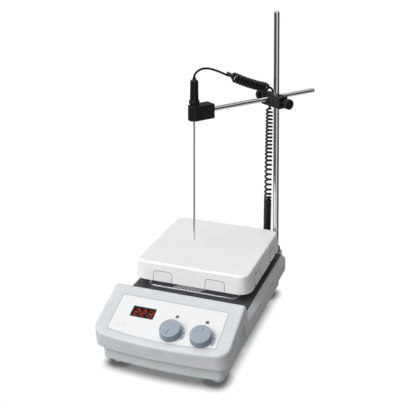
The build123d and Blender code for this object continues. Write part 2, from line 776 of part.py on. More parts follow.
def bracket_screws():
    group = Part()
    for x, y in deck_holes()[4:]:
        high = SHOULDER_TOP - WALL - 2.5
        group += column(x, y, high - 2.6, high, 3.6)
        group += column(x, y, high - 1, DECK_TOP - 0.2, 2.0)
    return group


def motor_can():
    can = column(0, 0, MOTOR_LOW, MOTOR_HIGH + 0.5, MOTOR_R)
    can -= column(0, 0, MOTOR_LOW + 2, MOTOR_HIGH - 1.5, MOTOR_R - 2)
    can -= column(0, 0, MOTOR_LOW + 0.5, MOTOR_LOW + 5, 8.0)
    can -= column(0, 0, MOTOR_HIGH - 4, MOTOR_HIGH + 1, 8.0)
    return can


def motor_stator():
    stator = ring(MOTOR_R - 2, 21, MOTOR_LOW + 9, MOTOR_HIGH - 9)
    for i in range(12):
        slot = Pos(22.5, 0, MOTOR_LOW + 8) * extrude(Rectangle(6, 3.2), MOTOR_HIGH - MOTOR_LOW)
        stator -= Rot(0, 0, 30 * i) * slot
    return stator


def motor_rotor():
    return ring(20.5, MOTOR_SHAFT_R + 0.01, MOTOR_LOW + 9, MOTOR_HIGH - 9)


def motor_bearings():
    group = Part()
    for low in (MOTOR_LOW + 0.5, MOTOR_HIGH - 4.0):
        group += ring(8.0, MOTOR_SHAFT_R + SHAFT_GAP, low, low + 4)
    return group


def motor_shaft():
    return column(0, 0, MOTOR_LOW + 0.7, CARRIER_Z + 8, MOTOR_SHAFT_R)


def magnet_carrier():
    bar = rounded_block(2 * (MAGNET_OUT + MAGNET_R + 3), 26, CARRIER_Z, CARRIER_Z + 4, 12.9)
    bar += column(0, 0, CARRIER_Z - 4, CARRIER_Z + 8.5, 8.0)
    return bar - column(0, 0, CARRIER_Z - 5, CARRIER_Z + 8.1, MOTOR_SHAFT_R + 0.01)


def drive_magnets():
    group = Part()
    for x in (-MAGNET_OUT, MAGNET_OUT):
        group += column(x, 0, CARRIER_Z + 4, CARRIER_Z + 14, MAGNET_R)
    return group


# ---- electrics ----


def main_board():
    board = Pos(0, MAIN_BOARD_Y, MAIN_BOARD_Z) * extrude(RectangleRounded(146, 122, 3), BOARD_THICK)
    for x, y in board_bosses():
        board -= column(x, y, MAIN_BOARD_Z - 1, MAIN_BOARD_Z + 4, 1.6)
    return board


def power_transformer():
    top = MAIN_BOARD_Z + BOARD_THICK
    core = Pos(-38, -120, top + 13) * Box(44, 36, 26)
    winding = Pos(-38, -120, top + 13) * Box(30, 48, 20)
    return core + winding


def ribbon_cable():
    start = PANEL_PLANE.from_local_coords(Vector(-10, -60, BOARD_N - BOARD_THICK))
    points = [
        (start.Y, start.Z),
        (start.Y + 2, start.Z - 10),
        (-168.0, MAIN_BOARD_Z + BOARD_THICK + 8),
        (-168.0, MAIN_BOARD_Z + BOARD_THICK),
    ]
    path = Spline(*[(0, y, z) for y, z in points], tangents=((0, 0.36, -0.93), (0, 0, -1)))
    section = Plane(origin=path @ 0, z_dir=path % 0, x_dir=(1, 0, 0)) * Rectangle(26, 1.0)
    return Pos(-10, 0, 0) * sweep(section, path=path)


def terminal_block():
    return Pos(0, 82, TUB_FLOOR + WALL + 7) * Box(30, 12, 14)


def heater_leads():
    group = Part()
    low = TUB_FLOOR + WALL + 14
    high = PLATE_TOP - PLATE_THICK - HEATER_T + 0.7
    for x in HEATER_LEAD_X:
        group += column(x, HEATER_LEAD_Y, low, high, 1.8)
    return group


def mains_wires():
    """Live and neutral, from the inlet past the switch to the main board."""
    group = Part()
    low = TUB_FLOOR + WALL + 4
    for i, x in enumerate((INLET_X - 6, INLET_X + 6)):
        points = [
            (x, REAR_FACE - 21, low + 6),
            (x - 6, 60, low),
            (-60 + 8 * i, 0, low),
            (-52 + 8 * i, -70, low + 6),
            (-48 + 8 * i, -84, MAIN_BOARD_Z + BOARD_THICK + 3),
        ]
        group += tube_along(points, 1.5, (0, -1, 0), (0, -1, 0))
    return group


def mains_inlet():
    """A three-pin inlet with its flange outside the rear wall."""
    face = REAR_FACE + 0.05
    flange = Pos(0, face + 1.2, 0) * Box(34, 2.4, 27)
    body = Pos(0, face - 9, 0) * Box(28, 18.4, 22)
    inlet = flange + body
    socket = Plane(origin=(0, face + 3, 0), x_dir=(1, 0, 0), z_dir=(0, -1, 0))
    inlet -= extrude(socket * RectangleRounded(24, 11.5, 3), 15)
    for x in (-7, 0, 7):
        inlet += Pos(x, face - 8, 0) * Box(1.6, 12, 4)
    return Pos(INLET_X, 0, REAR_Z) * inlet


def switch_frame():
    face = REAR_FACE + 0.05
    frame = Pos(0, face + 1, 0) * Box(17, 2, 23) + Pos(0, face - 7, 0) * Box(13, 14.2, 19)
    frame -= Pos(0, face - 4, 0) * Box(10.4, 18, 16.4)
    frame -= Pos(0, face - 6, 0) * Rot(0, 90, 0) * Cylinder(1.55, 11.6)
    return Pos(SWITCH_X, 0, REAR_Z) * frame


def power_rocker():
    """A rocker on a cross pin, lying at its ON side."""
    face = REAR_FACE + 0.05
    points = [(-7.2, 2.6), (0, 0.6), (7.2, 2.6), (5.6, -6), (-5.6, -6)]
    shape = make_face(Polyline(*[(y, z) for z, y in points], close=True))
    rocker = extrude(Plane.YZ * shape, 5.0, both=True)
    pin = Pos(0, -6, 0) * Rot(0, 90, 0) * Cylinder(1.5, 11.2)
    turned = Pos(0, -6, 0) * Rot(ROCKER_TILT, 0, 0) * Pos(0, 6, 0) * (rocker + pin)
    return Pos(SWITCH_X, face, REAR_Z) * turned


def sensor_socket():
    face = REAR_FACE + 0.05
    socket = Pos(0, face + 1, 0) * Rot(90, 0, 0) * Cylinder(8, 2)
    socket += Pos(0, face - 6, 0) * Rot(90, 0, 0) * Cylinder(6, 13)
    socket -= Pos(0, face - 1, 0) * Rot(90, 0, 0) * Cylinder(4.6, 8)
    return Pos(SOCKET_X, 0, REAR_Z) * socket


def sensor_plug():
    face = REAR_FACE + 2.7
    plug = Pos(0, face + 8, 0) * Rot(90, 0, 0) * Cylinder(5.5, 16)
    plug += Pos(0, face - 2, 0) * Rot(90, 0, 0) * Cylinder(4.4, 5)
    cone = Plane(origin=(0, face + 15.5, 0), z_dir=(0, 1, 0))
    plug += loft([cone * Circle(4.5), cone.offset(9) * Circle(2.6)])
    return Pos(SOCKET_X, 0, REAR_Z) * plug


# ---- rod, clamp, arm, probe ----


def support_rod():
    rod = column(ROD_X, ROD_Y, ROD_FOOT, ROD_TOP, ROD_R)
    rod = chamfer(rod.edges().group_by(Axis.Z)[-1], 0.8)
    return chamfer(rod.edges().group_by(Axis.Z)[0], 0.8)


def rod_collar():
    """The hand nut that locks the rod in its boss."""
    low = DECK_TOP + 2.0
    nut = knurled(7.6, 8.0)
    nut -= Pos(0, 0, -1) * extrude(Circle(ROD_R + 0.02), 12)
    return Pos(ROD_X, ROD_Y, low) * nut


def knurled(radius, thick):
    """A round grip with a scalloped edge, standing on z = 0."""
    grip = extrude(Circle(radius), thick)
    grip = chamfer(grip.edges(), 0.8)
    for i in range(KNURL_COUNT):
        scallop = Pos(radius + 0.5, 0, -1) * extrude(Circle(1.2), thick + 2)
        grip -= Rot(0, 0, 360 / KNURL_COUNT * i) * scallop
    return grip


def clamp_block():
    depth = CLAMP_HIGH_Y - CLAMP_LOW_Y
    middle = (CLAMP_HIGH_Y + CLAMP_LOW_Y) / 2
    high = CLAMP_HIGH_Z - CLAMP_LOW_Z
    block = Pos(0, middle, CLAMP_LOW_Z + high / 2) * Box(2 * CLAMP_HALF, depth, high)
    block = fillet(block.edges(), 1.2)
    block -= Cylinder(ROD_R + SLIDE_GAP, 60)
    block -= Pos(0, ARM_OFF, 0) * Rot(0, 90, 0) * Cylinder(ARM_R + SLIDE_GAP, 60)
    bore = SCREW_R + SLIDE_GAP
    block -= rod_between((0, ROD_R - 1, ROD_SCREW_Z), (0, CLAMP_HIGH_Y + 1, ROD_SCREW_Z), bore)
    block -= rod_between((0, ARM_OFF - ARM_R + 1, 0), (0, CLAMP_LOW_Y - 1, 0), bore)
    return on_arm(block)


def thumb_screw(face, tip, way, z):
    """A steel screw that stops just short of the bar it clamps, and its moulded grip.

    way is +1 or -1 along local y, from the block's face outwards.
    """
    grip_low = face + way * 9
    stem = rod_between((0, tip + way * 0.12, z), (0, grip_low + way * 6, z), SCREW_R)
    stem += rod_between((0, face + way * 0.3, z), (0, grip_low - way * 0.02, z), SCREW_R + 1.4)
    grip_plane = Plane(origin=(0, grip_low, z), x_dir=(1, 0, 0), z_dir=(0, way, 0))
    grip = knurled(KNURL_R, KNURL_T)
    grip -= Pos(0, 0, -1) * extrude(Circle(SCREW_R + 0.01), 7.1)
    return on_arm(stem + grip_plane.location * grip)


def cross_arm():
    arm = Pos(ARM_BACK, ARM_OFF, 0) * Rot(0, 90, 0) * extrude(Circle(ARM_R), ARM_FRONT - ARM_BACK)
    arm = chamfer(arm.edges().group_by(Axis.X)[0], 0.6)
    return on_arm(arm)


def probe_holder():
    """A block round the arm's end, rounded where it carries the probe."""
    length = PROBE_AT - HOLDER_BACK
    high = HOLDER_HIGH - HOLDER_LOW
    middle = HOLDER_BACK + length / 2
    block = Pos(middle, ARM_OFF, HOLDER_LOW) * extrude(Rectangle(length, 2 * HOLDER_R), high)
    block += Pos(PROBE_AT, ARM_OFF, HOLDER_LOW) * extrude(Circle(HOLDER_R), high)
    block = fillet(block.edges().filter_by(lambda e: abs(e.center().Z) > HOLDER_HIGH - 1.5), 1.4)
    arm_bore = extrude(Circle(ARM_R + SLIDE_GAP), ARM_FRONT - HOLDER_BACK + 2)
    block -= Pos(HOLDER_BACK - 1, ARM_OFF, 0) * Rot(0, 90, 0) * arm_bore
    block -= Pos(PROBE_AT, ARM_OFF, HOLDER_LOW - 1) * extrude(Circle(SHEATH_R + SLIDE_GAP), high + 2)
    side = ARM_OFF - HOLDER_R
    block -= rod_between((HOLDER_BACK + 12, side - 1, 0), (HOLDER_BACK + 12, ARM_OFF, 0), 2.05)
    block -= rod_between((HOLDER_BACK + 12, side - 1, 0), (HOLDER_BACK + 12, side + 2.2, 0), 3.9)
    return on_arm(block)


def holder_screw():
    side = ARM_OFF - HOLDER_R
    at = HOLDER_BACK + 12
    screw = rod_between((at, side + 0.2, 0), (at, side + 2.1, 0), 3.6)
    screw += rod_between((at, side + 1, 0), (at, ARM_OFF - ARM_R - 0.1, 0), 2.0)
    screw -= rod_between((at, side - 1, 0), (at, side + 1.4, 0), 1.6)
    return on_arm(screw)


def probe_handle():
    """Foot, collar, fluted grip and cone on top of the sheath."""
    rest = HOLDER_HIGH + 0.05
    collar_low = 15.0
    collar_high = 21.0
    grip_top = 53.0
    collar = Pos(0, 0, collar_low) * extrude(Circle(COLLAR_R), collar_high - collar_low)
    handle = fillet(collar.edges(), 1.4)
    handle += Pos(0, 0, rest) * extrude(Circle(HANDLE_R + 0.3), collar_low + 1 - rest)
    grip_low = Pos(0, 0, collar_high - 0.5) * Circle(HANDLE_R)
    grip_high = Pos(0, 0, grip_top) * Circle(HANDLE_R - 0.5)
    handle += loft([grip_low, grip_high])
    for i in range(10):
        flute = Pos(HANDLE_R + 0.3, 0, collar_high + 3) * extrude(Circle(0.8), grip_top - collar_high - 7)
        handle -= Rot(0, 0, 36 * i) * flute
    handle += loft([grip_high, Pos(0, 0, grip_top + 3.5) * Circle(2.8)])
    handle += Pos(0, 0, grip_top + 3.4) * extrude(Circle(2.8), 2.6)
    handle -= Pos(0, 0, rest - 1) * extrude(Circle(SHEATH_R + 0.01), 13)
    return on_arm(Pos(PROBE_AT, ARM_OFF, 0) * handle)


def probe_sheath():
    low = SHEATH_TIP - ARM_Z
    high = HOLDER_HIGH + 11
    sheath = Pos(PROBE_AT, ARM_OFF, low) * extrude(Circle(SHEATH_R), high - low)
    tip = sheath.edges().group_by(Axis.Z)[0]
    return on_arm(fillet(tip, 1.2))


def hang_point(share):
    return tuple(high + (low - high) * share for high, low in zip(HANG_TOP, HANG_BOTTOM))


def probe_lead_front():
    points = [LEAD_START, (163.0, ARM_OFF, 67.5), (150.0, ARM_OFF - 0.5, 72.6), LEAD_MIDDLE]
    return on_arm(tube_along(points, LEAD_R, (0, 0, 1), (-1, 0, -0.25)))


def probe_lead_rear():
    points = [LEAD_MIDDLE, (115.0, ARM_OFF - 1.5, 63.6), LEAD_END]
    return on_arm(tube_along(points, LEAD_R, (-1, 0, -0.25), LEAD_SLOPE))


def upper_coil():
    return on_arm(rod_between(UPPER_COIL_START, UPPER_COIL_END, UPPER_COIL_R))


def coil_link():
    """The plain stretch of cable behind the clamp that joins the two coils."""
    along = Vector(*UPPER_COIL_END) - Vector(*UPPER_COIL_START)
    start = Vector(*UPPER_COIL_END) + along.normalized() * 0.1
    points = [
        tuple(start),
        (-10.0, -26.3, 13.0),
        (-15.0, -26.5, 4.0),
        (-14.0, -26.2, -9.0),
        (HANG_TOP[0], HANG_TOP[1], HANG_TOP[2] + 0.1),
    ]
    return on_arm(tube_along(points, LEAD_R, tuple(along), (0, 0, -1)))


def hanging_coil(first, last):
    return on_arm(rod_between(hang_point(first), hang_point(last), COIL_R))


def cable_tail():
    """From the hanging coil down behind the housing and into the plug."""
    top = ARM_PLANE.from_local_coords(Vector(*HANG_BOTTOM))
    lean = ARM_PLANE.from_local_coords(Vector(*HANG_BOTTOM)) - ARM_PLANE.from_local_coords(Vector(*HANG_TOP))
    start = top + lean.normalized() * 0.1
    plug_end = REAR_FACE + 2.7 + 24.6
    points = [
        tuple(start),
        (top.X - 0.5, REAR + 14, 52.0),
        (SOCKET_X + 1, plug_end + 9, REAR_Z + 10),
        (SOCKET_X, plug_end, REAR_Z),
    ]
    return tube_along(points, LEAD_R, tuple(lean), (0, -1, 0))


def main():
    os.makedirs("parts", exist_ok=True)
    base = {
        "upper_housing": upper_housing(),
        "lower_tub": lower_tub(),
        "deck_plate": deck_plate(),
        "feet": feet(),
        "screws": case_screws() + board_screws() + post_screws() + bracket_screws(),
        "overlay_panel": overlay_panel(),
        "display_window": display_window(),
        "display_module": display_module(),
        "display_digits": display_digits(),
        "indicator_lenses": indicator_lenses(),
        "display_board": display_board(),
        "potentiometers": potentiometers() + bush_nuts(),
        "work_plate": work_plate(),
        "skirt_tabs": skirt_tabs(),
        "plate_posts": plate_posts(),
        "heating_element": heating_element(),
        "insulation_pad": insulation_pad(),
        "insulation_cover": insulation_cover(),
        "plate_sensor": plate_sensor(),
        "heat_shield_pan": heat_shield_pan(),
        "motor_bracket": motor_bracket(),
        "motor_can": motor_can(),
        "motor_stator": motor_stator(),
        "motor_bearings": motor_bearings(),
        "main_board": main_board(),
        "power_transformer": power_transformer(),
        "ribbon_cable": ribbon_cable(),
        "terminal_block": terminal_block(),
        "wiring": heater_leads() + mains_wires(),
        "mains_inlet": mains_inlet(),
        "switch_frame": switch_frame(),
        "sensor_socket": sensor_socket(),
        "sensor_plug": sensor_plug(),
        "lower_cable": hanging_coil(HANG_SPLIT + 0.001, 1) + cable_tail(),
    }
    moving = {
        "motor_rotor": motor_rotor(),
        "motor_shaft": motor_shaft(),
        "magnet_carrier": magnet_carrier(),
        "drive_magnets": drive_magnets(),
        "power_rocker": power_rocker(),
        "support_rod": support_rod(),
        "rod_collar": rod_collar(),
        "clamp_block": clamp_block(),
        "hanging_coil": hanging_coil(0, HANG_SPLIT - 0.001),
        "upper_cable": upper_coil() + coil_link(),
        "rod_thumb_screw": thumb_screw(CLAMP_HIGH_Y, ROD_R, 1, ROD_SCREW_Z),
        "arm_thumb_screw": thumb_screw(CLAMP_LOW_Y, ARM_OFF - ARM_R, -1, 0),
        "cross_arm": cross_arm(),
        "probe_holder": probe_holder(),
        "holder_screw": holder_screw(),
        "probe_lead_rear": probe_lead_rear(),
        "probe_handle": probe_handle(),
        "probe_sheath": probe_sheath(),
        "probe_lead_front": probe_lead_front(),
    }
    for name, shape in {**base, **moving}.items():
        save(name, shape)
    knob_pieces("heat", KNOB_X[0], HEAT_POINTER)
    knob_pieces("speed", KNOB_X[1], SPEED_POINTER)


main()
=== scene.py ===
import math

import bmesh
import bpy
from mathutils import Matrix, Vector


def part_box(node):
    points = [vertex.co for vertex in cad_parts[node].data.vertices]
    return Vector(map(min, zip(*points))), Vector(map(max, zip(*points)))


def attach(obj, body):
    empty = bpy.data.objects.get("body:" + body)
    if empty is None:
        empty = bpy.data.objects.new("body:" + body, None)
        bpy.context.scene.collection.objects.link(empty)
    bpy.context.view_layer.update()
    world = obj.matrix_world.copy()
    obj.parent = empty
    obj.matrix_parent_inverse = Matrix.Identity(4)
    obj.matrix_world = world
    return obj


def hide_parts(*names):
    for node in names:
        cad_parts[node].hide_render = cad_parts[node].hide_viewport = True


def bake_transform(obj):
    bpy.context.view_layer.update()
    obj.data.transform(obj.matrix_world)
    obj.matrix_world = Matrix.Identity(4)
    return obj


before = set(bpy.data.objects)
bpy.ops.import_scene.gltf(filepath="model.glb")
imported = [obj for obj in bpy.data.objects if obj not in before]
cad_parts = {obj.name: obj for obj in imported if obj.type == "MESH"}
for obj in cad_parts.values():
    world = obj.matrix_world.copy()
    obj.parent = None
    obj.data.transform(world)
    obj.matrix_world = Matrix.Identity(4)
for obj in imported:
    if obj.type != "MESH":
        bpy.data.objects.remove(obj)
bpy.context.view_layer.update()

# The CAD's frame has its origin at the centre of the work plate's top face. The bench is at z = BENCH.
BENCH = -0.112
SLOPE = math.radians(21)
SLOPE_ORIGIN = Vector((0, -0.1463, 0.092 + BENCH))
SLOPE_DOWN = Vector((0, -math.cos(SLOPE), -math.sin(SLOPE)))
SLOPE_OUT = Vector((0, -math.sin(SLOPE), math.cos(SLOPE)))
ROD = Vector((0.0872, 0.103, 0.345 + BENCH))
HEADING = math.radians(234.9)
ALONG_ARM = Vector((math.cos(HEADING), math.sin(HEADING), 0))
BESIDE_ARM = Vector((-math.sin(HEADING), math.cos(HEADING), 0))

# The front panel, in millimetres across it and down its slope.
PANEL_HALF = 86.4
PANEL_TOP = 14.7
PANEL_SIDE = 79.8
PANEL_MIDDLE = 87.2
PANEL_CORNER = 2.5
KNOBS = (12.2, 59.7)
KNOB_DOWN = 67.5
LAMP_DOWN = 38.6
DISPLAY_AT = (-42.0, 42.1)
MASK_OUTER = (37.5, 19.1)
MASK_INNER = (33.0, 14.4)
RING_AT = (-72.5, -62.5)
RING_DOWN = 68.5
DOTS = ((-6.8, 71.5), (40.6, 71.5), (31.2, 77.0), (78.5, 77.0))
PRINT_OUT = 0.05
PRINT_THICK = 0.06

# The plate's flared skirt and the tabs let into it, in metres above the bench.
SKIRT_LOW_HALF = 0.0985
SKIRT_HIGH_HALF = 0.0945
SKIRT_LOW = 0.084
SKIRT_HEIGHT = 0.028
TABS_AT = (-0.0475, 0.0415)
TAB_W = 0.0322
TAB_H = 0.0156
TAB_CORNER = 0.0046
TAB_FOOT = 0.0842
SEAM_R = 0.0004
PEGS_AT = (-0.0636, 0.0254, 0.0576)
PEG_R = 0.0017
TRAY_CORNER = 0.0136
BEAD_R = 0.0006

# The probe's cable, from the handle to the plug.
LEAD_R = 0.0019
UPPER_WIRE = 0.0021
COIL_WIRE = 0.0018
UPPER_R = 0.0067
UPPER_TURNS = 14.5
UPPER_SAG = 0.0026
LOOP_WIDE = 0.0078
LOOP_TALL = 0.0064
LOOP_LIFT = 0.0016
HANG_R = 0.0049
HANG_SPLIT = 0.46
HANG_STEPS = 2000
OPEN_PITCH = 0.0066
EXTRA_PITCH = 0.0029
CLOSED_PITCH = 0.0037

CAMERA_AT = Vector((0.45985, -1.30470, 0.71703 + BENCH))
CAMERA_LENS = 73.24
CAMERA_SHIFT = -0.6567
FLOOR_HALF = 30.0


def panel_point(x, down, out=0.0):
    """Millimetres across, down the slope and out of it, as a point in metres."""
    return SLOPE_ORIGIN + Vector((x / 1000, 0, 0)) + SLOPE_DOWN * (down / 1000) + SLOPE_OUT * (out / 1000)


def arm_point(along, beside, up):
    """Millimetres in the arm's own frame, as a point in metres."""
    return ROD + ALONG_ARM * (along / 1000) + BESIDE_ARM * (beside / 1000) + Vector((0, 0, up / 1000))


# ---------------------------------------------------------------- materials


def linear(value):
    """One sRGB channel of 0 to 1 as linear light."""
    return value / 12.92 if value <= 0.04045 else ((value + 0.055) / 1.055) ** 2.4


def colour(r, g, b):
    """An sRGB colour of 0 to 255 as linear RGBA."""
    return tuple(linear(v / 255) for v in (r, g, b)) + (1.0,)


class Nodes:
    """A node tree, with short ways to add and join its nodes."""

    def __init__(self, tree):
        self.nodes = tree.nodes
        self.links = tree.links

    def put(self, socket, value):
        """Link a socket's value, or set it."""
        if isinstance(value, bpy.types.NodeSocket):
            self.links.new(value, socket)
        else:
            socket.default_value = value

    def add(self, kind, inputs=None, **settings):
        node = self.nodes.new(kind)
        for key, value in settings.items():
            setattr(node, key, value)
        for key, value in (inputs or {}).items():
            self.put(node.inputs[key], value)
        return node

    def mix(self, fac, first, second):
        node = self.add("ShaderNodeMix", data_type="RGBA")
        for index, value in ((0, fac), (6, first), (7, second)):
            self.put(node.inputs[index], value)
        return node.outputs[2]

    def span(self, value, low, high, start=0.0, end=1.0):
        """value from low..high mapped to start..end."""
        return self.add(
            "ShaderNodeMapRange",
            {"Value": value, "From Min": low, "From Max": high, "To Min": start, "To Max": end},
        ).outputs["Result"]

    def math(self, operation, first, second=0.0):
        return self.add("ShaderNodeMath", {0: first, 1: second}, operation=operation).outputs[0]


class Material(Nodes):
    """A material with one principled shader."""

    def __init__(self, name):
        self.material = bpy.data.materials.new(name)
        self.material.use_nodes = True
        super().__init__(self.material.node_tree)
        self.shader = self.nodes["Principled BSDF"]
        self.place = self.add("ShaderNodeTexCoord").outputs["Object"]

    def noise(self, scale, detail=3.0, stretch=(1, 1, 1)):
        mapping = self.add("ShaderNodeMapping", {"Vector": self.place, "Scale": stretch})
        return self.add(
            "ShaderNodeTexNoise",
            {"Vector": mapping.outputs["Vector"], "Scale": scale, "Detail": detail, "Roughness": 0.55},
        ).outputs["Fac"]

    def into(self, **inputs):
        """Set or link the shader's inputs, their spaces written as underscores."""
        for key, value in inputs.items():
            self.put(self.shader.inputs[key.replace("_", " ")], value)

    def base(self):
        """What the shader's colour is linked to."""
        return self.shader.inputs["Base Color"].links[0].from_socket

    def edges(self):
        """Bright along outer edges."""
        return self.span(self.add("ShaderNodeNewGeometry").outputs["Pointiness"], 0.52, 0.60)


def surface(name, base, rough, metal=0.0, vary=0.05, spread=28.0, grain=1600.0, bump=0.05,
            wear=None, worn=0.35, stretch=(1, 1, 1), coat=0.0, specular=0.5):
    """A coated, moulded or machined surface: drifting colour and gloss, fine grain, rubbed edges."""
    tree = Material(name)
    drift = tree.noise(spread, 4.0)
    fine = tree.noise(grain, 2.0, stretch)
    darker = tuple(v * (1 - vary) for v in base[:3]) + (1.0,)
    lighter = tuple(min(1.0, v * (1 + vary)) for v in base[:3]) + (1.0,)
    shade = tree.mix(tree.span(drift, 0.3, 0.7), darker, lighter)
    if wear:
        rub = tree.math("MULTIPLY", tree.edges(), tree.span(tree.noise(210.0, 4.0), 0.35, 0.7))
        shade = tree.mix(tree.math("MULTIPLY", rub, worn), shade, wear)
    broad = tree.span(drift, 0.25, 0.75, rough * 0.85, rough * 1.12)
    gloss = tree.math("ADD", broad, tree.span(fine, 0, 1, -0.03, 0.03))
    height = tree.add("ShaderNodeBump", {"Height": fine, "Strength": bump, "Distance": 0.0002})
    tree.into(Base_Color=shade, Roughness=gloss, Metallic=metal, Normal=height.outputs["Normal"])
    tree.into(Coat_Weight=coat, Specular_IOR_Level=specular)
    return tree


def finish(name, base, rough, **settings):
    """A surface that needs nothing more than its settings."""
    return surface(name, base, rough, **settings).material


housing_grey = finish("housing_paint", colour(202, 205, 207), 0.46, grain=2600, bump=0.10,
                      wear=colour(224, 226, 228))
tub_grey = finish("tub_paint", colour(203, 208, 209), 0.5, grain=2300, bump=0.12,
                  wear=colour(222, 225, 226))
deck_grey = finish("deck_paint", colour(62, 64, 66), 0.52, grain=2400, bump=0.16,
                   wear=colour(110, 113, 115))
foot_grey = finish("foot_rubber", colour(226, 229, 230), 0.8, vary=0.12, bump=0.3)
screw_metal = finish("screw_steel", colour(178, 180, 182), 0.32, metal=1.0, grain=3000, bump=0.08)
overlay_white = finish("overlay_film", colour(225, 226, 227), 0.5, vary=0.015, grain=3800,
                       bump=0.05)
plate_white = finish("plate_enamel", colour(240, 241, 240), 0.34, vary=0.02, spread=16, grain=1900,
                     bump=0.05, wear=colour(250, 250, 250), coat=0.15)
tab_white = finish("tab_plastic", colour(236, 237, 236), 0.42, vary=0.02, grain=2600, bump=0.06)
bright_sheet = finish("bright_sheet", colour(212, 215, 218), 0.32, metal=1.0, vary=0.08, grain=900,
                      bump=0.10, stretch=(1, 9, 1))
component_metal = finish("component_metal", colour(172, 174, 177), 0.38, metal=1.0, bump=0.10)
core_dark = finish("core_steel", colour(80, 80, 84), 0.55, metal=0.6, vary=0.12, bump=0.2,
                   stretch=(1, 1, 14))
shaft_metal = finish("shaft_steel", colour(186, 188, 190), 0.2, metal=1.0, grain=1400, bump=0.05,
                     stretch=(1, 1, 12))
bearing_metal = finish("bearing_steel", colour(206, 208, 210), 0.14, metal=1.0, bump=0.03)
magnet_metal = finish("magnet_nickel", colour(202, 199, 190), 0.22, metal=1.0, bump=0.05)
heater_metal = finish("heater_metal", colour(112, 106, 100), 0.6, metal=0.7, vary=0.2, bump=0.3)
insulation = finish("insulation_board", colour(224, 219, 205), 0.95, vary=0.08, grain=700, bump=0.6)
board_green = finish("circuit_board", colour(28, 92, 52), 0.35, vary=0.1, grain=1200, bump=0.08)
ribbon_grey = finish("ribbon_grey", colour(160, 160, 162), 0.5, grain=700, bump=0.3,
                     stretch=(9, 0.4, 0.4))
block_cream = finish("block_plastic", colour(222, 216, 196), 0.5)
sleeve_white = finish("lead_sleeve", colour(214, 208, 196), 0.8, grain=2400, bump=0.4)
black_plastic = finish("black_plastic", colour(34, 34, 36), 0.42, vary=0.15, grain=2200, bump=0.12,
                       wear=colour(84, 84, 86))
rocker_black = finish("rocker_plastic", colour(30, 30, 31), 0.25, vary=0.1, bump=0.05, coat=0.2)
grip_black = finish("grip_black", colour(15, 15, 16), 0.45, vary=0.12, grain=1900, bump=0.06,
                    wear=colour(74, 74, 76), worn=0.45, specular=0.28)
cable_black = finish("cable_black", colour(13, 13, 14), 0.34, vary=0.2, grain=1500, bump=0.04,
                     coat=0.1, specular=0.32)
rod_metal = finish("rod_steel", colour(214, 216, 219), 0.16, metal=1.0, vary=0.05, spread=9,
                   grain=1300, bump=0.05, stretch=(6, 6, 0.3))
sheath_metal = finish("sheath_steel", colour(206, 208, 211), 0.17, metal=1.0, grain=1500, bump=0.04,
                      stretch=(5, 5, 0.3))
pointer_dark = finish("pointer_dark", colour(86, 92, 98), 0.4)
print_grey = finish("print_grey", colour(170, 175, 180), 0.5, vary=0.04)
print_pale = finish("print_pale", colour(206, 208, 210), 0.5, vary=0.04)
display_black = finish("display_black", colour(22, 18, 18), 0.35, vary=0.1, bump=0.04)
mask_black = finish("window_mask", colour(13, 12, 13), 0.5, vary=0.08, bump=0.03, specular=0.2)
# Grey for the painted shade of the gap round the overlay.
gap_shade_grey = finish("painted_gap_shade", colour(160, 164, 167), 0.5, vary=0.04)
# Grey for the painted shade in the skirt's tab slits.
slit_shade_grey = finish("painted_slit_shade", colour(126, 128, 130), 0.7, vary=0.08)


def knob_material():
    """A pale cap, with painted shade on its side: faces turned away from the panel's normal get a darker
    grey.
    """
    tree = surface("knob_cap", colour(146, 155, 164), 0.42, vary=0.03, grain=2600, bump=0.08,
                   wear=colour(172, 180, 187))
    normal = tree.add("ShaderNodeNewGeometry").outputs["True Normal"]
    facing = tree.add("ShaderNodeVectorMath", {0: normal, 1: tuple(SLOPE_OUT)}, operation="DOT_PRODUCT")
    is_cap = tree.span(facing.outputs["Value"], 0.55, 0.85)
    # Painted shade: the knob's side gets a darker grey than its cap.
    tree.into(Base_Color=tree.mix(is_cap, colour(132, 142, 152), tree.base()))
    return tree.material


def glow_material():
    """Red light bars with a slightly patchy glow."""
    tree = surface("digit_red", colour(196, 44, 22), 0.5, vary=0.1)
    patch = tree.span(tree.noise(420.0), 0.3, 0.7, 0.75, 1.25)
    tree.into(Emission_Color=colour(255, 60, 18), Emission_Strength=tree.math("MULTIPLY", patch, 0.5))
    return tree.material


def lens_material():
    """A clear window, tinted a little."""
    tree = surface("window_lens", colour(206, 198, 196), 0.04, vary=0.02, bump=0.01)
    tree.into(Transmission_Weight=1.0, IOR=1.02, Specular_IOR_Level=0.2)
    return tree.material


def lamp_material():
    """A dark glossy lamp that is off."""
    tree = surface("lamp_lens", colour(74, 76, 76), 0.26, vary=0.1, bump=0.1)
    tree.into(Coat_Weight=0.5)
    return tree.material


def tray_material():
    """Pressed sheet, dark grey as painted shade under the plate; its raised ribs and rim get a painted
    highlight that also glows.
    """
    tree = surface("tray_sheet", colour(92, 94, 97), 0.4, metal=0.35, vary=0.08, grain=900, bump=0.10,
                   stretch=(1, 9, 1))
    height = tree.add("ShaderNodeSeparateXYZ", {0: tree.place}).outputs["Z"]
    # Painted highlight: the raised ribs and rim are painted near white and glow faintly.
    raised_highlight = tree.span(height, 0.0709 + BENCH, 0.0714 + BENCH)
    tree.into(Base_Color=tree.mix(raised_highlight, tree.base(), colour(236, 238, 240)))
    tree.into(Metallic=tree.math("MULTIPLY", raised_highlight, 0.1))
    tree.into(Emission_Color=colour(214, 216, 219), Emission_Strength=tree.math("MULTIPLY", raised_highlight, 0.22))
    return tree.material


knob_cap = knob_material()
tray_sheet = tray_material()
digit_red = glow_material()
window_lens = lens_material()
lamp_lens = lamp_material()

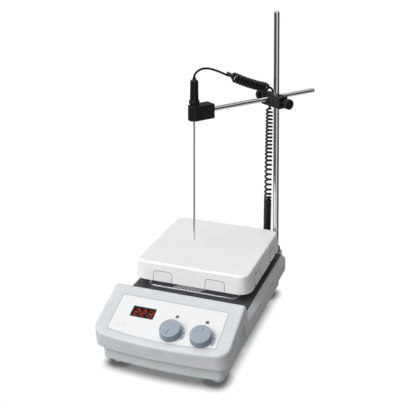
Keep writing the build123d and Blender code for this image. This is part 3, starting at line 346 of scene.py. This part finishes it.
finish_of = {
    "upper_housing": housing_grey,
    "lower_tub": tub_grey,
    "deck_plate": deck_grey,
    "feet": foot_grey,
    "screws": screw_metal,
    "overlay_panel": overlay_white,
    "display_window": window_lens,
    "display_module": display_black,
    "display_digits": digit_red,
    "indicator_lenses": lamp_lens,
    "display_board": board_green,
    "potentiometers": component_metal,
    "work_plate": plate_white,
    "skirt_tabs": tab_white,
    "plate_posts": shaft_metal,
    "heating_element": heater_metal,
    "insulation_pad": insulation,
    "insulation_cover": bright_sheet,
    "plate_sensor": screw_metal,
    "heat_shield_pan": tray_sheet,
    "motor_bracket": component_metal,
    "motor_can": component_metal,
    "motor_stator": core_dark,
    "motor_bearings": bearing_metal,
    "main_board": board_green,
    "power_transformer": core_dark,
    "ribbon_cable": ribbon_grey,
    "terminal_block": block_cream,
    "wiring": sleeve_white,
    "mains_inlet": black_plastic,
    "switch_frame": black_plastic,
    "sensor_socket": black_plastic,
    "sensor_plug": black_plastic,
    "heat_knob": knob_cap,
    "heat_pointer": pointer_dark,
    "heat_shaft": shaft_metal,
    "speed_knob": knob_cap,
    "speed_pointer": pointer_dark,
    "speed_shaft": shaft_metal,
    "motor_rotor": core_dark,
    "motor_shaft": shaft_metal,
    "magnet_carrier": component_metal,
    "drive_magnets": magnet_metal,
    "power_rocker": rocker_black,
    "support_rod": rod_metal,
    "rod_collar": grip_black,
    "clamp_block": grip_black,
    "rod_thumb_screw": grip_black,
    "arm_thumb_screw": grip_black,
    "cross_arm": rod_metal,
    "probe_holder": grip_black,
    "holder_screw": screw_metal,
    "probe_handle": grip_black,
    "probe_sheath": sheath_metal,
}
for node, material in finish_of.items():
    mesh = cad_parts[node].data
    mesh.materials.clear()
    mesh.materials.append(material)


# ---------------------------------------------------------------- mesh pieces


def make_object(name, builder, material):
    """A mesh object from a bmesh, smooth but for its sharp corners."""
    mesh = bpy.data.meshes.new(name)
    builder.normal_update()
    for face in builder.faces:
        face.smooth = True
    for edge in builder.edges:
        if len(edge.link_faces) == 2 and edge.calc_face_angle() > math.radians(40):
            edge.smooth = False
    builder.to_mesh(mesh)
    builder.free()
    mesh.materials.append(material)
    obj = bpy.data.objects.new(name, mesh)
    bpy.context.scene.collection.objects.link(obj)
    return obj


def base_piece(name, builder, material):
    """A mesh piece that rides on the base."""
    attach(make_object(name, builder, material), "base")


def smooth_path(points, steps):
    """A Catmull-Rom curve through the points."""
    ends = [points[0] * 2 - points[1]] + list(points) + [points[-1] * 2 - points[-2]]
    out = []
    for i in range(1, len(ends) - 2):
        p0, p1, p2, p3 = ends[i - 1: i + 3]
        for k in range(steps):
            t = k / steps
            out.append(
                0.5 * ((2 * p1) + (p2 - p0) * t + (2 * p0 - 5 * p1 + 4 * p2 - p3) * t * t
                       + (3 * p1 - p0 - 3 * p2 + p3) * t ** 3)
            )
    out.append(points[-1].copy())
    return out


def tube(builder, path, radius, sides=12):
    """A closed round tube along a path, turning as little as possible."""
    direction = (path[1] - path[0]).normalized()
    across = direction.orthogonal().normalized()
    rings = []
    for i, point in enumerate(path):
        ahead = path[min(i + 1, len(path) - 1)] - path[max(i - 1, 0)]
        ahead.normalize()
        across = (across - ahead * across.dot(ahead)).normalized()
        side = ahead.cross(across)
        rings.append([
            builder.verts.new(point + (across * math.cos(a) + side * math.sin(a)) * radius)
            for a in (2 * math.pi * k / sides for k in range(sides))
        ])
    for first, second in zip(rings, rings[1:]):
        for k in range(sides):
            builder.faces.new((first[k], first[(k + 1) % sides], second[(k + 1) % sides], second[k]))
    builder.faces.new(list(reversed(rings[0])))
    builder.faces.new(rings[-1])


def helix(start, end, radius, turns, steps):
    """Points of a coil from start to end, radius(t) off the axis at fraction t, turns(t) turned."""
    axis = end - start
    direction = axis.normalized()
    across = direction.orthogonal().normalized()
    side = direction.cross(across)
    count = int(abs(turns(1.0)) * steps)
    points = []
    for i in range(count + 1):
        t = i / count
        angle = 2 * math.pi * turns(t)
        points.append(start + axis * t + (across * math.cos(angle) + side * math.sin(angle)) * radius(t))
    return points


def ease(t):
    """0 to 1 with a soft start and end."""
    t = min(1.0, max(0.0, t))
    return t * t * (3 - 2 * t)


def swept(name, path, radius, sides=12):
    """A black wire along a path."""
    builder = bmesh.new()
    tube(builder, path, radius, sides)
    wire = make_object(name, builder, cable_black)
    return wire


def stretched(wire, node):
    """Let a wire stand for a CAD cable, whose part is hidden, and bake the wire's placement."""
    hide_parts(node)
    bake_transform(wire)


# Where each length of the cable begins and ends.
lead_start = arm_point(167.5, -12, 59)
lead_middle = arm_point(133, -13, 68.6)
lead_end = arm_point(98, -14, 53.2)
coil_high = arm_point(88, -14, 50.2)
coil_low = arm_point(-2.5, -25.5, 15.5)
hang_top = arm_point(-5.2, -25.2, -20)
hang_bottom = arm_point(-4, -29.4, -268)
hang_split = hang_top + (hang_bottom - hang_top) * HANG_SPLIT

front_points = [
    arm_point(167.5, -12, 57.5), lead_start, arm_point(166.6, -12, 63.2), arm_point(162.5, -12, 67.3),
    arm_point(156.5, -12, 70.0), arm_point(150, -12.2, 71.2), arm_point(141, -12.6, 70.6), lead_middle,
]
lead_front = swept("probe_lead_front_tube", smooth_path(front_points, 8), LEAD_R, 16)
stretched(lead_front, "probe_lead_front")

rear_points = [
    lead_middle, arm_point(124, -13.3, 65.3), arm_point(115, -13.5, 61.5), arm_point(105, -13.8, 56.6),
    lead_end,
]
lead_rear = swept("probe_lead_rear_tube", smooth_path(rear_points, 10), LEAD_R, 16)
stretched(lead_rear, "probe_lead_rear")

upper_coil = helix(
    coil_high, coil_low,
    lambda t: UPPER_R * ease(t * 14) * ease((1 - t) * 16),
    lambda t: UPPER_TURNS * t,
    steps=24,
)
for i, point in enumerate(upper_coil):
    share = i / (len(upper_coil) - 1)
    point.z -= UPPER_SAG * 4 * share * (1 - share)
link_points = [
    coil_low, arm_point(-10, -26.3, 13), arm_point(-15, -26.5, 4), arm_point(-14, -26.2, -9), hang_top,
]
upper_path = smooth_path([lead_end, coil_high], 3)[:-1] + upper_coil + smooth_path(link_points, 9)[1:]
upper_cable = swept("upper_cable_coil", upper_path, UPPER_WIRE)
stretched(upper_cable, "upper_cable")

# One loose turn of the cable, looped round the lead where the coil begins.
loop_middle = arm_point(90.5, -14, 51.6)
loop_across = (ALONG_ARM * 0.45 + BESIDE_ARM * 0.89).normalized()
loop_up = (ALONG_ARM * 0.80 - BESIDE_ARM * 0.35 + Vector((0, 0, 0.50))).normalized()
loop_path = [
    loop_middle + loop_across * (LOOP_WIDE * math.cos(a)) + loop_up * (LOOP_TALL * math.sin(a))
    + Vector((0, 0, LOOP_LIFT * math.sin(a / 2)))
    for a in (2 * math.pi * k / 40 for k in range(43))
]
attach(swept("cable_loop", loop_path, COIL_WIRE), "arm")

# The hanging coil opens out under its own weight, and its lowest turns stay closed.
HANG_LENGTH = (hang_top - hang_bottom).length
HANG_STEP = HANG_LENGTH / HANG_STEPS


def hanging_pitch(depth):
    """The rise of one turn at a depth below the coil's top."""
    opened = OPEN_PITCH + EXTRA_PITCH * math.exp(-(((depth - 0.137) / 0.042) ** 2))
    closed = ease((depth - 0.148) / 0.034)
    return opened + (CLOSED_PITCH - opened) * closed


turns_at = [0.0]
for k in range(HANG_STEPS):
    turns_at.append(turns_at[-1] + HANG_STEP / hanging_pitch(HANG_STEP * (k + 0.5)))


def hanging_turns(t):
    """The turns from the coil's top to a fraction of its length."""
    spot = t * HANG_STEPS
    k = min(int(spot), HANG_STEPS - 1)
    return turns_at[k] + (turns_at[k + 1] - turns_at[k]) * (spot - k)


hanging = helix(
    hang_top, hang_bottom,
    lambda t: (HANG_R + 0.0003 * ease(t * 2)) * ease(t * 40) * ease((1 - t) * 60),
    lambda t: -hanging_turns(t),
    steps=22,
)
cut = min(range(len(hanging)), key=lambda i: abs(hanging[i].z - hang_split.z))
hanging_coil = swept("hanging_coil_open", hanging[:cut + 1], COIL_WIRE)
stretched(hanging_coil, "hanging_coil")

plug = Vector((0.062, 0.1367, -0.083))
tail_points = [
    hang_bottom, hang_bottom + Vector((0, 0.001, -0.008)), Vector((hang_bottom.x - 0.0005, 0.132, -0.060)),
    Vector((0.063, 0.1457, -0.073)), Vector((0.0622, 0.1430, -0.0815)), plug,
]
lower_cable = swept("lower_cable_coil", hanging[cut:] + smooth_path(tail_points, 9)[1:], COIL_WIRE)
stretched(lower_cable, "lower_cable")


# ---------------------------------------------------------------- print on the front panel


def thicken(builder, faces):
    """Give flat faces on the panel the print's thickness, all normals outwards."""
    made = bmesh.ops.extrude_face_region(builder, geom=faces)
    moved = [v for v in made["geom"] if isinstance(v, bmesh.types.BMVert)]
    bmesh.ops.translate(builder, verts=moved, vec=-SLOPE_OUT * (PRINT_THICK / 1000))
    bmesh.ops.recalc_face_normals(builder, faces=builder.faces)


def arc_band(builder, x, down, inner, outer, first, last, steps=10):
    """A thin band on the panel. Its inner and outer radii may change from its first angle to its last.

    Angles are in degrees, clockwise from up the slope.
    """
    low, high = [], []
    for k in range(steps + 1):
        t = k / steps
        angle = math.radians(first + (last - first) * t)
        r_in = inner[0] + (inner[1] - inner[0]) * t
        r_out = outer[0] + (outer[1] - outer[0]) * t
        for row, radius in ((low, r_in), (high, r_out)):
            spot = panel_point(x + radius * math.sin(angle), down - radius * math.cos(angle), PRINT_OUT)
            row.append(builder.verts.new(spot))
    top = [builder.faces.new((low[k], low[k + 1], high[k + 1], high[k])) for k in range(steps)]
    thicken(builder, top)


def band_between(builder, outer, inner, out):
    """A thin band on the panel between two outlines of equally many points."""
    low = [builder.verts.new(panel_point(x, down, out)) for x, down in outer]
    high = [builder.verts.new(panel_point(x, down, out)) for x, down in inner]
    count = len(low)
    top = []
    for k in range(count):
        after = (k + 1) % count
        top.append(builder.faces.new((low[k], low[after], high[after], high[k])))
    thicken(builder, top)


def ring(builder, x, down, inner, outer, out, steps):
    """A thin closed ring on the panel."""
    turns = [2 * math.pi * k / steps for k in range(steps)]
    outlines = [
        [(x + radius * math.sin(turn), down - radius * math.cos(turn)) for turn in turns]
        for radius in (outer, inner)
    ]
    band_between(builder, *outlines, out)


def panel_border(inset, steps=6):
    """The overlay's outline moved inwards: straight above, bowed below, its corners rounded."""
    half = PANEL_HALF - inset
    top = PANEL_TOP + inset
    side = PANEL_SIDE - inset
    rise = PANEL_MIDDLE - PANEL_SIDE
    corner = PANEL_CORNER - inset
    points = []
    for cx, cy, start in ((half - corner, top + corner, 0), (-half + corner, top + corner, 90)):
        for k in range(steps + 1):
            angle = math.radians(start + 90 * k / steps)
            points.append((cx + corner * math.cos(angle), cy - corner * math.sin(angle)))
    points.append((-half, side - corner))
    for k in range(25):
        x = (-half + corner * 0.6) + 2 * (half - corner * 0.6) * k / 24
        points.append((x, side + rise * (1 - (x / half) ** 2)))
    points.append((half, side - corner))
    return points


def rectangle(middle, size):
    """The corners of a rectangle on the panel."""
    x, down = middle
    width, height = size
    corners = ((-1, -1), (1, -1), (1, 1), (-1, 1))
    return [(x + sx * width / 2, down + sy * height / 2) for sx, sy in corners]


# A scale that widens clockwise beside each knob.
builder = bmesh.new()
for knob_x in KNOBS:
    arc_band(builder, knob_x, KNOB_DOWN, (17.8, 17.6), (18.4, 20.6), 30, 64)
    arc_band(builder, knob_x, KNOB_DOWN, (17.6, 17.6), (20.8, 22.2), 68, 88)
    arc_band(builder, knob_x, KNOB_DOWN, (17.6, 17.6), (22.3, 22.4), 92, 112)
base_piece("knob_scales", builder, print_grey)

# A thin grey line just inside the overlay's edge: painted shade of the gap round the overlay.
builder = bmesh.new()
band_between(builder, panel_border(0.15), panel_border(0.85), 0.045)
base_piece("overlay_gap_shade", builder, gap_shade_grey)

# The display's dark mask: a printed frame on the window that hides the edge of its opening.
builder = bmesh.new()
band_between(builder, rectangle(DISPLAY_AT, MASK_OUTER), rectangle(DISPLAY_AT, MASK_INNER), 0.17)
base_piece("window_mask", builder, mask_black)

# A dark bezel round each indicator lamp.
builder = bmesh.new()
for knob_x in KNOBS:
    ring(builder, knob_x, LAMP_DOWN, 2.1, 2.9, 0.16, 28)
base_piece("lamp_bezels", builder, black_plastic)

# Two plain rings, and a dot at each end of the knobs' travel.
builder = bmesh.new()
for ring_x in RING_AT:
    ring(builder, ring_x, RING_DOWN, 2.0, 2.5, PRINT_OUT, 24)
for dot_x, dot_down in DOTS:
    ring(builder, dot_x, dot_down, 0.01, 0.75, PRINT_OUT, 12)
base_piece("panel_marks", builder, print_pale)


# ---------------------------------------------------------------- tray and skirt


def rounded_rectangle(half_x, half_y, corner, z, steps=8):
    """A level closed path."""
    points = []
    for cx, cy, start in ((1, 1, 0), (-1, 1, 90), (-1, -1, 180), (1, -1, 270)):
        for k in range(steps + 1):
            angle = math.radians(start + 90 * k / steps)
            points.append(Vector((
                cx * (half_x - corner) + corner * math.cos(angle),
                cy * (half_y - corner) + corner * math.sin(angle), z,
            )))
    return points


def closed_tube(builder, path, radius, sides=10):
    """A round tube along a level closed path."""
    rings = []
    count = len(path)
    for i, point in enumerate(path):
        ahead = (path[(i + 1) % count] - path[i - 1]).normalized()
        side = ahead.cross(Vector((0, 0, 1))).normalized()
        up = side.cross(ahead)
        rings.append([
            builder.verts.new(point + (side * math.cos(a) + up * math.sin(a)) * radius)
            for a in (2 * math.pi * k / sides for k in range(sides))
        ])
    for i in range(count):
        first, second = rings[i], rings[(i + 1) % count]
        for k in range(sides):
            builder.faces.new((first[k], second[k], second[(k + 1) % sides], first[(k + 1) % sides]))


def skirt_half(z):
    """Half the plate's width at a height above the bench, in metres."""
    return SKIRT_LOW_HALF - (SKIRT_LOW_HALF - SKIRT_HIGH_HALF) * (z - SKIRT_LOW) / SKIRT_HEIGHT


def tab_outline():
    """A tab's open outline, up one side, over its rounded corners and down the other."""
    outline = [(-TAB_W / 2, 0.0), (-TAB_W / 2, TAB_H * 0.35)]
    for side, start in ((-1, 180), (1, 90)):
        for k in range(7):
            angle = math.radians(start - 15 * k)
            across = side * (TAB_W / 2 - TAB_CORNER) + TAB_CORNER * math.cos(angle)
            outline.append((across, TAB_H - TAB_CORNER + TAB_CORNER * math.sin(angle)))
    return outline + [(TAB_W / 2, TAB_H * 0.35), (TAB_W / 2, 0.0)]


# A rolled bead on the bright tray's rim.
tray_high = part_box("heat_shield_pan")[1]
builder = bmesh.new()
rim_path = rounded_rectangle(tray_high.x - 0.0004, tray_high.y - 0.0004, TRAY_CORNER, tray_high.z - 0.0002)
closed_tube(builder, rim_path, BEAD_R)
base_piece("tray_rim", builder, bright_sheet)

# A thin grey tube in the slit round each tab of the skirt: painted shade of the slit.
builder = bmesh.new()
for turn in range(4):
    for at in TABS_AT:
        path = []
        for across, rise in tab_outline():
            z = TAB_FOOT + rise
            spot = Vector((at + across, -skirt_half(z) + 0.00005, z + BENCH))
            spot.rotate(Matrix.Rotation(math.radians(90 * turn), 3, "Z"))
            path.append(spot)
        tube(builder, path, SEAM_R, 8)
base_piece("tab_slit_shade", builder, slit_shade_grey)

# Dark pegs that lock the skirt's tabs, at the foot of their slits.
builder = bmesh.new()
for side in (1, -1):
    for at in PEGS_AT:
        spot = Vector((side * 0.0978, side * at, 0.0858 + BENCH))
        made = bmesh.ops.create_icosphere(builder, subdivisions=3, radius=PEG_R)
        for vert in made["verts"]:
            vert.co = Vector((vert.co.x, vert.co.y, vert.co.z * 0.9)) + spot
base_piece("tab_pegs", builder, black_plastic)

# ---------------------------------------------------------------- stage, light and camera

builder = bmesh.new()
bmesh.ops.create_grid(builder, x_segments=4, y_segments=4, size=FLOOR_HALF)
for vert in builder.verts:
    vert.co.z = BENCH - 0.0002
floor_tree = surface("floor_pale", colour(168, 168, 168), 0.9, vary=0.005, spread=0.5, bump=0.01)
ray = floor_tree.add("ShaderNodeLightPath")
# Seen by the camera, the floor glows evenly white, with a painted contact shadow from ambient occlusion near
# the base.
crease = floor_tree.add("ShaderNodeAmbientOcclusion", {"Distance": 0.018}, samples=16).outputs["AO"]
shade = floor_tree.span(crease, 0.50, 0.95, 0.08, 1.0)
shadow = floor_tree.mix(shade, (0.03, 0.03, 0.03, 1), (1, 1, 1, 1))
glow = floor_tree.add("ShaderNodeEmission", {"Color": shadow}).outputs[0]
lit = floor_tree.shader.outputs[0]
seen = floor_tree.add("ShaderNodeMixShader", {0: ray.outputs["Is Camera Ray"], 1: lit, 2: glow}).outputs[0]
# Bright metal mirrors the studio's light and dark bands, which go on below the horizon.
clear = floor_tree.add("ShaderNodeBsdfTransparent").outputs[0]
pick = floor_tree.add("ShaderNodeMixShader", {0: ray.outputs["Is Glossy Ray"], 1: seen, 2: clear}).outputs[0]
floor_tree.put(floor_tree.nodes["Material Output"].inputs["Surface"], pick)
make_object("floor", builder, floor_tree.material)

world = bpy.data.worlds.new("studio")
bpy.context.scene.world = world
world.use_nodes = True
sky = Nodes(world.node_tree)
ray = sky.add("ShaderNodeLightPath")
coords = sky.add("ShaderNodeTexCoord")
direction = sky.add("ShaderNodeSeparateXYZ", {0: coords.outputs["Generated"]})
azimuth = sky.math("ARCTAN2", direction.outputs["X"], direction.outputs["Y"])
bands = sky.add("ShaderNodeValToRGB", {"Fac": sky.span(azimuth, -math.pi, math.pi)})
# What bright metal mirrors round the horizon: a place from 0 to 1 and its brightness.
BAND_LEVELS = (
    (0.05, 0.07), (0.13, 0.06), (0.22, 0.20), (0.34, 0.30), (0.43, 0.08), (0.465, 0.12), (0.485, 0.75),
    (0.515, 0.75), (0.55, 0.16), (0.64, 0.08), (0.76, 0.06), (0.83, 0.20), (0.885, 1.05), (0.925, 1.05),
    (0.96, 0.35),
)
ramp = bands.color_ramp.elements
for end, position in enumerate((0.0, 1.0)):
    ramp[end].position = position
    ramp[end].color = (0.20, 0.20, 0.205, 1)
for position, level in BAND_LEVELS:
    ramp.new(position).color = (level, level, level * 1.02, 1)
steep = sky.span(sky.math("ABSOLUTE", direction.outputs["Z"]), 0.38, 0.62)
mirrored = sky.mix(steep, bands.outputs["Color"], (0.70, 0.70, 0.71, 1))
ambient = sky.mix(ray.outputs["Is Glossy Ray"], (0.27, 0.273, 0.277, 1), mirrored)
shown = sky.mix(ray.outputs["Is Camera Ray"], ambient, (1, 1, 1, 1))
sky.put(sky.nodes["Background"].inputs["Color"], shown)


def soft_sun(name, towards, strength, spread):
    """Light arriving from the direction towards."""
    lamp = bpy.data.lights.new(name, "SUN")
    lamp.energy, lamp.angle = strength, math.radians(spread)
    obj = bpy.data.objects.new(name, lamp)
    obj.rotation_mode = "QUATERNION"
    obj.rotation_quaternion = Vector(towards).to_track_quat("Z", "Y")
    bpy.context.scene.collection.objects.link(obj)


soft_sun("key_light", (-0.48, -0.64, 0.60), 2.45, 40)
soft_sun("top_light", (-0.25, 0.10, 0.96), 0.95, 60)

# The lens is shifted, since the camera looks almost level and the picture is framed well below its axis.
lens = bpy.data.cameras.new("camera")
camera = bpy.data.objects.new("camera", lens)
bpy.context.scene.collection.objects.link(camera)
camera.location = CAMERA_AT
camera.rotation_euler = (math.radians(90 - 3.276), 0, math.radians(19.829))
lens.sensor_width = 36.0
lens.lens = CAMERA_LENS
lens.clip_start, lens.clip_end = 0.05, 100.0
# The shift belongs to this viewpoint alone.
shift_driver = lens.driver_add("shift_y").driver
here = shift_driver.variables.new()
here.name = "x"
here.type = "TRANSFORMS"
here.targets[0].id = camera
here.targets[0].transform_type = "LOC_X"
shift_driver.expression = f"{CAMERA_SHIFT} * (abs(x - {CAMERA_AT.x:.5f}) < 0.001)"
bpy.context.scene.camera = camera
bpy.context.scene.view_settings.view_transform = "Standard"

bpy.context.view_layer.update()
